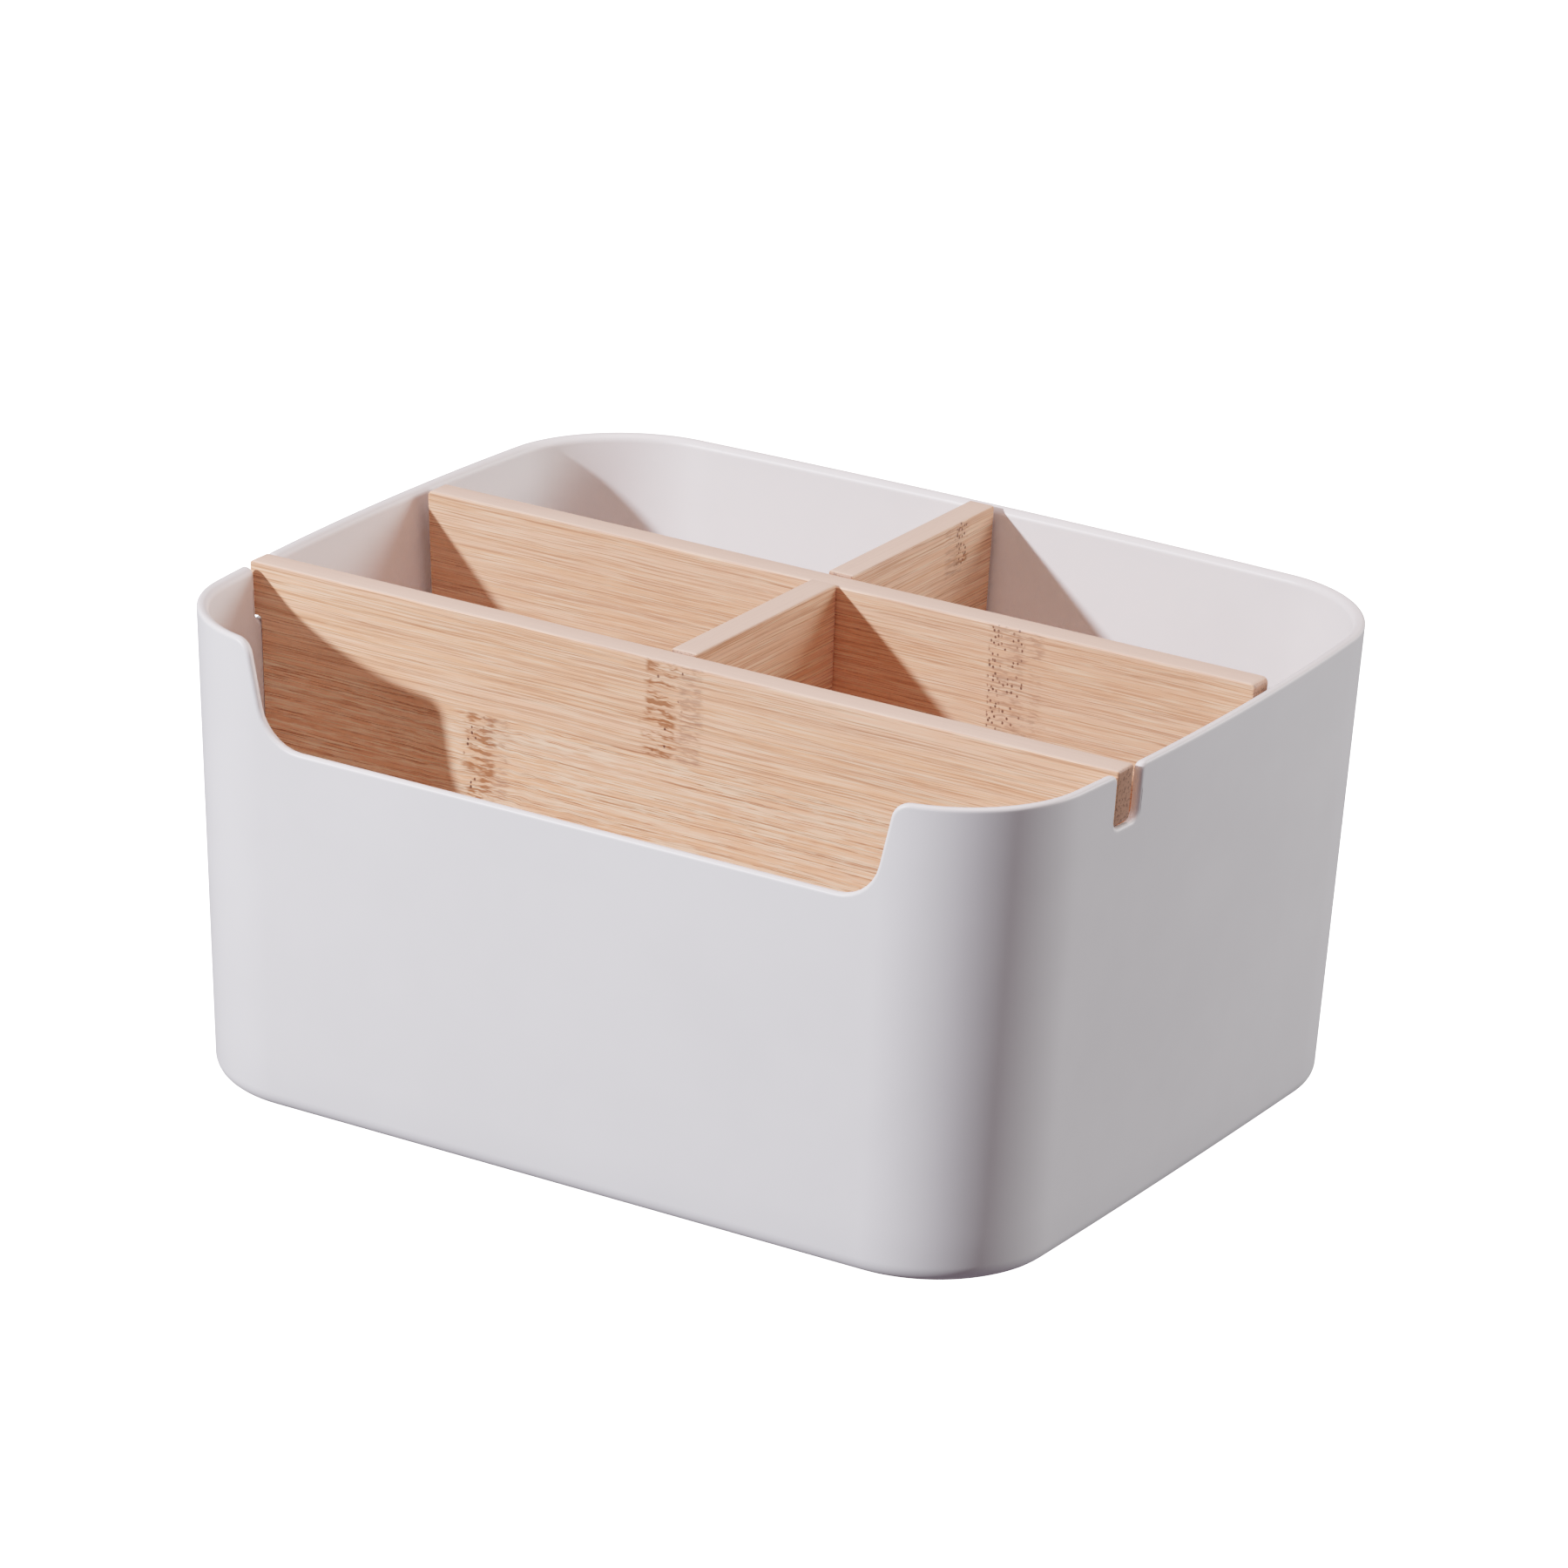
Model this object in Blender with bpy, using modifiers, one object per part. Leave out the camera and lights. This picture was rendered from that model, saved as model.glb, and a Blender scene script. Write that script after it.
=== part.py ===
"""Compartment storage box: a white moulded tray with three lift-out bamboo dividers.

The tray is open at the top and has a wide cut-out in its front wall. A front divider
stands across it with an ear in a notch of each side wall. A long divider and a cross
divider stand behind it, halved into each other.

Units are metres, +Z is up, and the origin is the middle of the tray's underside.
"""

from math import acos, cos, pi, radians, sin, tan

import bmesh
import bpy
import numpy as np

# Tray, measured outside: its width and depth at the rim, bows included
TRAY_WIDTH = 0.2600
TRAY_DEPTH = 0.2070
TRAY_HEIGHT = 0.1260
TRAY_WALL = 0.0030
CORNER_RADIUS = 0.0330
BASE_FILLET = 0.0048
RIM_ROUND = 0.0008

# How far the walls lean in and bow out
SIDE_TAPER = 0.0035
FRONT_TAPER = 0.0036
SIDE_BOW = 0.0062
BASE_SIDE_BOW = 0.0011
BACK_BOW = 0.0038

# Cut-out in the front wall
CUTOUT_WIDTH = 0.1890
SILL_WIDTH = 0.1766
CUTOUT_DEPTH = 0.0270
CUTOUT_RADIUS = 0.0120
CUTOUT_LIP = 0.0050

# Notches in the side walls: each has its play on one side of the ear
NOTCH_DEPTH = 0.0149
NOTCH_PLAY = 0.0026
NOTCH_RADIUS = 0.0025
NOTCH_LIP = 0.0015

# Dividers
BOARD_THICKNESS = 0.0074
BOARD_EDGE = 0.0005
BOARD_CORNER = 0.0030

# How far each divider stands above the rim
FRONT_PROUD = 0.0006
LONG_PROUD = 0.0004
CROSS_PROUD = 0.0011

# Compartments: the front pocket and the row behind it, front to back, at the rim
FRONT_POCKET = 0.0460
MIDDLE_ROW = 0.0672
CROSS_SHIFT = 0.0012

# Clearances
SEAT_GAP = 0.0003
SIDE_GAP = 0.0003
FRONT_PLAY = 0.0008
LONG_PLAY = 0.0023
REAR_PLAY = 0.0014
EAR_SETBACK = 0.0002
EAR_LIFT = 0.0020

# Cutters run this far past what they cut
OVERRUN = 0.0100
LIP_RISE_SHARE = 0.3

# Facets: how many straight runs stand for each curve
CORNER_STEPS = 9
BOW_STEPS = 10
FILLET_STEPS = 4
ROUND_STEPS = 6
MERGE_SHARE = 0.05

# Places that follow from the sizes above
MIDDLE_Y = -BACK_BOW / 2
RIM_HALF_WIDTH = TRAY_WIDTH / 2 - SIDE_BOW
RIM_HALF_DEPTH = (TRAY_DEPTH - BACK_BOW) / 2
FRONT_INSIDE = MIDDLE_Y - RIM_HALF_DEPTH + TRAY_WALL
FRONT_Y = FRONT_INSIDE + FRONT_POCKET + BOARD_THICKNESS / 2
LONG_Y = FRONT_Y + BOARD_THICKNESS + MIDDLE_ROW
CROSS_X = -CROSS_SHIFT
FLOOR_Z = TRAY_WALL + SEAT_GAP
FRONT_HEIGHT = TRAY_HEIGHT + FRONT_PROUD - FLOOR_Z
LONG_HEIGHT = TRAY_HEIGHT + LONG_PROUD - FLOOR_Z
CROSS_HEIGHT = TRAY_HEIGHT + CROSS_PROUD - FLOOR_Z
NOTCH_BOTTOM = TRAY_HEIGHT - NOTCH_DEPTH
EAR_BOTTOM = NOTCH_BOTTOM + EAR_LIFT
SLOT_WIDTH = BOARD_THICKNESS + 2 * SIDE_GAP

UPRIGHT = (pi / 2, 0, 0)
UPRIGHT_ACROSS = (pi / 2, 0, pi / 2)


def clear_scene():
    """Remove whatever the scene holds."""
    for thing in list(bpy.data.objects):
        bpy.data.objects.remove(thing, do_unlink=True)


def new_collection(name):
    """Make a collection under the scene's own."""
    collection = bpy.data.collections.new(name)
    bpy.context.scene.collection.children.link(collection)
    return collection


def make_material(name, colour, roughness):
    """Make a Principled material with one colour."""
    material = bpy.data.materials.new(name)
    material.use_nodes = True
    shader = material.node_tree.nodes["Principled BSDF"]
    shader.inputs["Base Color"].default_value = (*colour, 1)
    shader.inputs["Roughness"].default_value = roughness
    shader.inputs["Metallic"].default_value = 0
    return material


def rounded_outline(corners, radii, steps):
    """Round each corner of a closed outline with an arc of its own radius."""
    corners = [np.array(corner, dtype=float) for corner in corners]
    points = []
    for index, (corner, radius) in enumerate(zip(corners, radii)):
        before = corners[index - 1] - corner
        after = corners[(index + 1) % len(corners)] - corner
        before = before / np.linalg.norm(before)
        after = after / np.linalg.norm(after)
        if radius == 0:
            points.append(corner)
            continue
        opening = acos(np.clip(np.dot(before, after), -1, 1))
        start = corner + before * radius / tan(opening / 2)
        bisector = (before + after) / np.linalg.norm(before + after)
        centre = corner + bisector * radius / sin(opening / 2)
        first = start - centre
        turn = pi - opening
        if np.cross(before, after) > 0:
            turn = -turn
        for step in range(steps + 1):
            angle = turn * step / steps
            points.append(centre + np.array((first[0] * cos(angle) - first[1] * sin(angle),
                                             first[0] * sin(angle) + first[1] * cos(angle))))
    return points


def plate(name, outline, thickness, collection, location, rotation):
    """Make a flat plate: a filled 2D outline, thick to both sides, as a closed mesh."""
    curve = bpy.data.curves.new(name + "_outline", "CURVE")
    curve.dimensions = "2D"
    curve.fill_mode = "BOTH"
    curve.extrude = thickness / 2
    spline = curve.splines.new("POLY")
    spline.points.add(len(outline) - 1)
    for point, (across, up) in zip(spline.points, outline):
        point.co = (across, up, 0, 1)
    spline.use_cyclic_u = True
    drawn = bpy.data.objects.new(name + "_outline", curve)
    collection.objects.link(drawn)
    drawn.location = location
    drawn.rotation_euler = rotation
    bpy.context.view_layer.update()

    graph = bpy.context.evaluated_depsgraph_get()
    mesh = bpy.data.meshes.new_from_object(drawn.evaluated_get(graph))
    mesh.name = name
    body = bmesh.new()
    body.from_mesh(mesh)
    bmesh.ops.remove_doubles(body, verts=body.verts, dist=MERGE_SHARE * SEAT_GAP)
    bmesh.ops.dissolve_limit(body, angle_limit=radians(1), verts=body.verts, edges=body.edges)
    bmesh.ops.recalc_face_normals(body, faces=body.faces)
    body.to_mesh(mesh)
    body.free()

    solid = bpy.data.objects.new(name, mesh)
    collection.objects.link(solid)
    solid.matrix_world = drawn.matrix_world
    bpy.data.objects.remove(drawn, do_unlink=True)
    return solid


def cut(solid, cutter):
    """Subtract a cutter from a solid with a live Boolean."""
    cutter.hide_render = True
    cutter.display_type = "WIRE"
    boolean = solid.modifiers.new(cutter.name, "BOOLEAN")
    boolean.operation = "DIFFERENCE"
    boolean.object = cutter


def round_edges(solid, width, segments):
    """Round a solid's sharp edges."""
    bevel = solid.modifiers.new("rounded_edges", "BEVEL")
    bevel.width = width
    bevel.segments = segments
    bevel.limit_method = "ANGLE"
    bevel.angle_limit = radians(50)


def wall_plan(height):
    """Give the outside plan at a height: half width, half depth, side bow and back bow."""
    share = height / TRAY_HEIGHT
    half_width = RIM_HALF_WIDTH - SIDE_TAPER * (1 - share)
    half_depth = RIM_HALF_DEPTH - FRONT_TAPER * (1 - share)
    side_bow = BASE_SIDE_BOW + (SIDE_BOW - BASE_SIDE_BOW) * share
    return half_width, half_depth, side_bow, BACK_BOW * share


def outside_half_width(place, height):
    """Half of the tray's outside width at a place from front to back, between its corners."""
    half_width, half_depth, side_bow, _ = wall_plan(height)
    return half_width + side_bow * (1 - ((place - MIDDLE_Y) / half_depth) ** 2)


def inside_half_width(place, height):
    """Half of the tray's inside width at a place from front to back, between its corners."""
    return outside_half_width(place, height) - TRAY_WALL


def inside_back(height):
    """Where the back wall's inside is, at its middle."""
    _, half_depth, _, back_bow = wall_plan(height)
    return MIDDLE_Y + half_depth + back_bow - TRAY_WALL


def wall_ring(height, inset):
    """Points of the outside plan at a height, drawn in by an inset.

    The plan is a rounded rectangle whose sides, and at the back its end, bow out by a
    parabola that fades towards the middle of the tray.
    """
    half_width, half_depth, side_bow, back_bow = wall_plan(height)
    half_width -= inset
    half_depth -= inset
    radius = CORNER_RADIUS - inset
    flat_width = half_width - radius
    flat_depth = half_depth - radius
    turns = np.linspace(0, pi / 2, CORNER_STEPS + 1)
    runs = np.linspace(-1, 1, BOW_STEPS + 1)[1:-1]
    stretches = []
    for quarter, (way_x, way_y) in enumerate(((1, 1), (-1, 1), (-1, -1), (1, -1))):
        angles = turns + quarter * pi / 2
        stretches.append(np.column_stack((way_x * flat_width + radius * np.cos(angles),
                                          way_y * flat_depth + radius * np.sin(angles))))
        if quarter == 0:
            stretches.append(np.column_stack((-runs * flat_width, np.full(runs.size, half_depth))))
        if quarter == 1:
            stretches.append(np.column_stack((np.full(runs.size, -half_width), -runs * flat_depth)))
        if quarter == 3:
            stretches.append(np.column_stack((np.full(runs.size, half_width), runs * flat_depth)))
    plan = np.vstack(stretches)
    x, y = plan[:, 0], plan[:, 1]
    beside = np.clip(np.abs(x) / flat_width, 0, 1) ** 2
    behind = np.clip(y / flat_depth, 0, 1) ** 2
    bowed_x = x + np.sign(x) * side_bow * (1 - (y / half_depth) ** 2) * beside
    bowed_y = y + back_bow * (1 - (x / half_width) ** 2) * behind
    return np.column_stack((bowed_x, bowed_y + MIDDLE_Y, np.full(x.size, height)))


def tray_surface(collection):
    """Loft the tray's open outer surface from its base outline to its bowed rim."""
    rings = []
    for step in range(FILLET_STEPS + 1):
        angle = pi / 2 * step / FILLET_STEPS
        rings.append(wall_ring(BASE_FILLET * (1 - cos(angle)), BASE_FILLET * (1 - sin(angle))))
    for share in np.linspace(0, 1, FILLET_STEPS)[1:]:
        rings.append(wall_ring(BASE_FILLET + (TRAY_HEIGHT - BASE_FILLET) * share, 0))
    count = len(rings[0])
    near = np.arange(count)
    far = np.roll(near, -1)
    faces = [near[::-1].tolist()]
    for level in range(len(rings) - 1):
        low = level * count
        high = low + count
        faces += np.column_stack((near + low, far + low, far + high, near + high)).tolist()
    mesh = bpy.data.meshes.new("tray")
    mesh.from_pydata(np.vstack(rings).tolist(), [], faces)
    mesh.validate()
    surface = bpy.data.objects.new("tray", mesh)
    collection.objects.link(surface)
    return surface


def cutout_outline():
    """Outline of the front cut-out, with a rounded sill and rounded lips at the rim."""
    sill = TRAY_HEIGHT - CUTOUT_DEPTH
    half_top = CUTOUT_WIDTH / 2
    half_sill = SILL_WIDTH / 2
    lip_end = half_top + OVERRUN
    lip_top = TRAY_HEIGHT + OVERRUN * LIP_RISE_SHARE
    above = TRAY_HEIGHT + OVERRUN
    corners = [(-half_sill, sill), (half_sill, sill), (half_top, TRAY_HEIGHT), (lip_end, lip_top),
               (lip_end, above), (-lip_end, above), (-lip_end, lip_top), (-half_top, TRAY_HEIGHT)]
    radii = [CUTOUT_RADIUS, CUTOUT_RADIUS, CUTOUT_LIP, 0, 0, 0, 0, CUTOUT_LIP]
    return rounded_outline(corners, radii, ROUND_STEPS)


def notch_outline(front, rear):
    """Outline of a side notch between two places from front to back."""
    lip_top = TRAY_HEIGHT + OVERRUN * LIP_RISE_SHARE
    above = TRAY_HEIGHT + OVERRUN
    corners = [(front, NOTCH_BOTTOM), (rear, NOTCH_BOTTOM), (rear, TRAY_HEIGHT),
               (rear + OVERRUN, lip_top), (rear + OVERRUN, above), (front - OVERRUN, above),
               (front - OVERRUN, lip_top), (front, TRAY_HEIGHT)]
    radii = [NOTCH_RADIUS, NOTCH_RADIUS, NOTCH_LIP, 0, 0, 0, 0, NOTCH_LIP]
    return rounded_outline(corners, radii, ROUND_STEPS)


def build_tray(collection, cutters):
    """Make the tray: a lofted shell, cut out in front and notched at both sides."""
    tray = tray_surface(collection)
    shell = tray.modifiers.new("wall", "SOLIDIFY")
    shell.thickness = TRAY_WALL
    shell.offset = -1
    shell.use_even_offset = True
    round_edges(tray, RIM_ROUND, 2)

    front_wall = MIDDLE_Y - RIM_HALF_DEPTH
    window = plate("cutout_cutter", cutout_outline(), 2 * CORNER_RADIUS, cutters,
                   (0, front_wall, 0), UPRIGHT)
    cut(tray, window)

    half_board = BOARD_THICKNESS / 2 + SIDE_GAP
    spans = {"left": (FRONT_Y - half_board - NOTCH_PLAY, FRONT_Y + half_board),
             "right": (FRONT_Y - half_board, FRONT_Y + half_board + NOTCH_PLAY)}
    for side, way in (("left", -1), ("right", 1)):
        notch = plate("notch_cutter_" + side, notch_outline(*spans[side]), 2 * OVERRUN, cutters,
                      (way * outside_half_width(FRONT_Y, TRAY_HEIGHT), 0, 0), UPRIGHT_ACROSS)
        cut(tray, notch)

    tray.data.materials.append(make_material("white_plastic", (0.78, 0.78, 0.80), 0.42))
    tray.data.shade_smooth()
    return tray


def divider(name, outline, collection, place, rotation):
    """Make one bamboo board from its outline, with its edges eased."""
    board = plate(name, outline, BOARD_THICKNESS, collection, place, rotation)
    round_edges(board, BOARD_EDGE, 1)
    board.data.materials.append(make_material(name + "_bamboo", (0.62, 0.42, 0.27), 0.5))
    return board


def build_front_divider(collection):
    """Make the front divider: it stands on the floor, with an ear in each side notch."""
    face = FRONT_Y - BOARD_THICKNESS / 2
    ear_up = EAR_BOTTOM - FLOOR_Z
    end_low = inside_half_width(face, FLOOR_Z + BOARD_CORNER) - FRONT_PLAY
    end_high = inside_half_width(face, EAR_BOTTOM) - FRONT_PLAY
    ear_low = outside_half_width(face, EAR_BOTTOM) - EAR_SETBACK
    ear_high = outside_half_width(face, TRAY_HEIGHT) - EAR_SETBACK
    half = [(end_low - BOARD_CORNER, 0), (end_low, BOARD_CORNER), (end_high, ear_up),
            (ear_low, ear_up), (ear_high, FRONT_HEIGHT)]
    outline = half + [(-across, up) for across, up in reversed(half)]
    return divider("front_divider", outline, collection, (0, FRONT_Y, FLOOR_Z), UPRIGHT)


def build_long_divider(collection):
    """Make the long divider: wall to wall, slotted from below over the cross divider."""
    face = LONG_Y + BOARD_THICKNESS / 2
    end_low = inside_half_width(face, FLOOR_Z + BOARD_CORNER) - LONG_PLAY
    end_high = inside_half_width(face, TRAY_HEIGHT) - LONG_PLAY
    slot_left = CROSS_X - SLOT_WIDTH / 2
    slot_right = CROSS_X + SLOT_WIDTH / 2
    slot_top = (LONG_HEIGHT + SEAT_GAP) / 2
    outline = [(slot_right, slot_top), (slot_right, 0), (end_low - BOARD_CORNER, 0),
               (end_low, BOARD_CORNER), (end_high, LONG_HEIGHT), (-end_high, LONG_HEIGHT),
               (-end_low, BOARD_CORNER), (-end_low + BOARD_CORNER, 0), (slot_left, 0),
               (slot_left, slot_top)]
    return divider("long_divider", outline, collection, (0, LONG_Y, FLOOR_Z), UPRIGHT)


def build_cross_divider(collection):
    """Make the cross divider: front divider to back wall, slotted from above."""
    front = FRONT_Y + BOARD_THICKNESS / 2 + SIDE_GAP
    rear_low = inside_back(FLOOR_Z + BOARD_CORNER) - REAR_PLAY
    rear_high = inside_back(TRAY_HEIGHT) - REAR_PLAY
    slot_front = LONG_Y - SLOT_WIDTH / 2
    slot_rear = LONG_Y + SLOT_WIDTH / 2
    slot_bottom = (LONG_HEIGHT - SEAT_GAP) / 2
    outline = [(front, 0), (rear_low - BOARD_CORNER, 0), (rear_low, BOARD_CORNER),
               (rear_high, CROSS_HEIGHT), (slot_rear, CROSS_HEIGHT), (slot_rear, slot_bottom),
               (slot_front, slot_bottom), (slot_front, CROSS_HEIGHT), (front, CROSS_HEIGHT)]
    return divider("cross_divider", outline, collection, (CROSS_X, 0, FLOOR_Z), UPRIGHT_ACROSS)


def main():
    """Build the storage box."""
    clear_scene()
    box = new_collection("compartment_storage_box")
    cutters = new_collection("cutters")
    build_tray(box, cutters)
    build_front_divider(box)
    build_cross_divider(box)
    build_long_divider(box)
    cutters.hide_render = True


main()
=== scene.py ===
"""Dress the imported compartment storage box: a satin white tray with three bamboo dividers.

Every length is in metres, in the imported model's own frame: +X to the right along the box,
+Y from its cut-out front to its back, +Z up, origin in the middle of its underside.
"""
import logging
import math
from dataclasses import dataclass
from enum import Enum
from typing import Dict, List, Sequence, Tuple, Union

import bpy
import numpy as np
from mathutils import Matrix, Vector
from mathutils.geometry import delaunay_2d_cdt


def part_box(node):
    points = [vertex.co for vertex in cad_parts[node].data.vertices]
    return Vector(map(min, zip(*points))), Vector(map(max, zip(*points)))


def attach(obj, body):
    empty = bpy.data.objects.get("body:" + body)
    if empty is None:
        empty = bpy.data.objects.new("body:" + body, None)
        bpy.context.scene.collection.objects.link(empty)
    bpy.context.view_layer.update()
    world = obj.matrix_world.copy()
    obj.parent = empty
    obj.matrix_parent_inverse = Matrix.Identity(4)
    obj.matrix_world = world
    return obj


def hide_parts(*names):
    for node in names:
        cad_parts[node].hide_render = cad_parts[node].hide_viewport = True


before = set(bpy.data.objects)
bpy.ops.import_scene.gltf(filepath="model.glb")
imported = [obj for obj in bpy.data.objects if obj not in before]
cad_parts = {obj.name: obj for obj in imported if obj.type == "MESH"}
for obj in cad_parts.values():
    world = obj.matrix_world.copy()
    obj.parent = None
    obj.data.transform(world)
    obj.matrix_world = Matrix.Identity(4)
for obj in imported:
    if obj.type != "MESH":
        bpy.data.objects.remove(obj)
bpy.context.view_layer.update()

LOG = logging.getLogger("storage_box")
Colour = Tuple[float, float, float]
Place = Tuple[float, float, float]
Level = Union[float, np.ndarray]


def linear(red: int, green: int, blue: int) -> Colour:
    """Turn a screen colour into the linear one that shaders use.

    Args:
        red: red, 0 to 255.
        green: green, 0 to 255.
        blue: blue, 0 to 255.

    Returns:
        The three linear values, 0 to 1.
    """
    shares = np.array((red, green, blue)) / 255
    low = shares / 12.92
    high = ((shares + 0.055) / 1.055) ** 2.4
    return tuple(np.where(shares <= 0.04045, low, high).tolist())


# Shapes


@dataclass(frozen=True)
class TrayPlan:
    """The tray's plan at any height, and how its wall is followed round.

    The plan is a rectangle with round corners. Its walls lean out towards the rim, and its
    sides and back bow out there too.
    """

    width: float = 0.2600
    depth: float = 0.2070
    height: float = 0.1260
    wall: float = 0.0030
    corner: float = 0.0330
    side_taper: float = 0.0035
    end_taper: float = 0.0036
    side_bow: float = 0.0062
    base_side_bow: float = 0.0011
    back_bow: float = 0.0038

    @property
    def middle_y(self) -> float:
        """Where the middle of the plan lies, without the bow at its back."""
        return -self.back_bow / 2

    @property
    def flat_width(self) -> float:
        """Half of the rim's straight run in front."""
        return self.width / 2 - self.side_bow - self.corner

    @property
    def flat_depth(self) -> float:
        """Half of the rim's straight run at a side."""
        return (self.depth - self.back_bow) / 2 - self.corner

    @property
    def quarter(self) -> float:
        """Length of one corner's arc."""
        return self.corner * math.pi / 2

    @property
    def stops(self) -> np.ndarray:
        """Where each run and each corner ends, going round from the middle of the front."""
        front, side, turn = self.flat_width, 2 * self.flat_depth, self.quarter
        return np.cumsum((0, front, turn, side, turn, 2 * front, turn, side, turn, front))

    def flats(self, height: Level) -> Tuple[Level, Level]:
        """Half of the straight runs, in front and at a side, which shrink towards the base."""
        depth = 1 - height / self.height
        return self.flat_width - self.side_taper * depth, self.flat_depth - self.end_taper * depth

    def side_bow_at(self, height: Level) -> Level:
        """How far a side's middle stands out, which grows evenly towards the rim."""
        return self.base_side_bow + (self.side_bow - self.base_side_bow) * (height / self.height)

    def bow_out(self, place: float, height: float) -> float:
        """Half of the outside width between the corners.

        Args:
            place: where, from front to back.
            height: how high.

        Returns:
            The half width there: a straight wall plus a parabola along its length.
        """
        flat_width, flat_depth = self.flats(height)
        share = (place - self.middle_y) / (flat_depth + self.corner)
        return flat_width + self.corner + self.side_bow_at(height) * (1 - share ** 2)

    def inside_back(self, height: float) -> float:
        """Where the inside of the back wall lies at a height, at its middle."""
        half_depth = self.flats(height)[1] + self.corner
        return self.middle_y + half_depth + self.back_bow * (height / self.height) - self.wall

    def points(self, along: np.ndarray, height: Level, inset: float) -> np.ndarray:
        """Points on the wall.

        A point is a corner centre, or a place on the run between two of them, plus the corner
        radius less the inset along the wall's normal. The bows are then added: each is a
        parabola along its wall, and fades to nothing towards the middle of the tray by the
        square of the distance.

        Args:
            along: how far round the rim, from the middle of the front to the right.
            height: how high.
            inset: how far inside the outer surface.

        Returns:
            One row of x, y and z for each point.
        """
        stops = self.stops
        across = np.interp(along, stops, (0, 1, 1, 1, 1, -1, -1, -1, -1, 0))
        deep = np.interp(along, stops, (-1, -1, -1, 1, 1, 1, 1, -1, -1, -1))
        turn = np.interp(along, stops, np.radians((-90, -90, 0, 0, 90, 90, 180, 180, 270, 270)))
        flat_width, flat_depth = self.flats(height)
        radius = self.corner - inset
        x = across * flat_width + radius * np.cos(turn)
        y = deep * flat_depth + radius * np.sin(turn)
        beside = np.clip(np.abs(x) / flat_width, 0, 1) ** 2
        behind = np.clip(y / flat_depth, 0, 1) ** 2
        side_bow = self.side_bow_at(height) * (1 - (y / (flat_depth + radius)) ** 2)
        back_bow = self.back_bow * (height / self.height) * (1 - (x / (flat_width + radius)) ** 2)
        bowed_x = x + np.sign(x) * side_bow * beside
        bowed_y = y + back_bow * behind
        return np.column_stack((bowed_x, bowed_y + self.middle_y, height + 0 * x))

    def along_front(self, across: float, height: float) -> float:
        """How far round a place in the front wall lies.

        Args:
            across: how far to the right of the wall's middle.
            height: how high.

        Returns:
            The way round at the rim: a share of the straight run, or an arc beyond it.
        """
        flat_width, _ = self.flats(height)
        if across <= flat_width:
            return across * self.flat_width / flat_width
        return self.flat_width + self.corner * math.asin((across - flat_width) / self.corner)

    def along_right(self, place: float, height: float) -> float:
        """How far round a place in the right wall lies."""
        share = (place - self.middle_y) / self.flats(height)[1]
        return self.flat_width + self.quarter + self.flat_depth * (1 + share)


def rounded_path(corners: np.ndarray, radii: Sequence[float], closed: bool, step: float,
                 arc_steps: int) -> Tuple[np.ndarray, np.ndarray]:
    """Follow straight runs with an arc at each corner.

    An arc's centre lies on the corner's bisector, at its radius over the sine of half the
    corner's opening.

    Args:
        corners: the corner points.
        radii: each corner's radius, or 0 for a sharp one.
        closed: whether the last point runs on to the first.
        step: the longest stretch between two points of a straight run.
        arc_steps: the stretches of an arc of a quarter turn.

    Returns:
        The points, and the unit normal at each, to the left of the way along.
    """
    count = len(corners)
    points: List[np.ndarray] = []
    normals: List[np.ndarray] = []
    for index in range(count):
        corner = corners[index]
        before = corners[index - 1] - corner
        after = corners[(index + 1) % count] - corner
        if not closed and index in (0, count - 1):
            way = after if index == 0 else -before
            way = way / np.linalg.norm(way)
            points.append(corner[None])
            normals.append(np.array(((-way[1], way[0]),)))
            continue
        before = before / np.linalg.norm(before)
        after = after / np.linalg.norm(after)
        opening = math.acos(float(np.clip(before @ after, -1, 1)))
        side = np.sign(before[1] * after[0] - before[0] * after[1])
        start_normal = np.array((before[1], -before[0]))
        centre = corner + (before + after) / np.linalg.norm(before + after) * (
            radii[index] / math.sin(opening / 2))
        turn = math.pi - opening
        angles = np.linspace(0, turn, max(2, round(arc_steps * turn / (math.pi / 2)) + 1)) * side
        cosine, sine = np.cos(angles), np.sin(angles)
        spun = np.column_stack((start_normal[0] * cosine - start_normal[1] * sine,
                                start_normal[0] * sine + start_normal[1] * cosine))
        points.append(centre - side * radii[index] * spun)
        normals.append(spun)
    whole: List[np.ndarray] = []
    facing: List[np.ndarray] = []
    for index in range(count if closed else count - 1):
        whole.append(points[index])
        facing.append(normals[index])
        start, end = points[index][-1], points[(index + 1) % count][0]
        length = float(np.linalg.norm(end - start))
        shares = np.linspace(0, 1, max(1, math.ceil(length / step)) + 1)[1:-1, None]
        whole.append(start + (end - start) * shares)
        facing.append(np.repeat(normals[index][-1:], len(shares), axis=0))
    if not closed:
        whole.append(points[-1])
        facing.append(normals[-1])
    return np.vstack(whole), np.vstack(facing)


def put(name: str, data: bpy.types.ID) -> bpy.types.Object:
    """Put an object in the scene.

    Args:
        name: its name.
        data: its mesh, light or camera.

    Returns:
        The object.
    """
    made = bpy.data.objects.new(name, data)
    bpy.context.scene.collection.objects.link(made)
    return made


def mesh_piece(name: str, points: np.ndarray, faces: List[Sequence[int]]) -> bpy.types.Object:
    """Make a smooth-shaded mesh object whose place is in its mesh.

    Args:
        name: the piece's name.
        points: its points.
        faces: its faces, as rows of point numbers.

    Returns:
        The new object.
    """
    mesh = bpy.data.meshes.new(name)
    mesh.from_pydata(points.tolist(), [], faces)
    mesh.validate()
    mesh.shade_smooth()
    return put(name, mesh)


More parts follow.
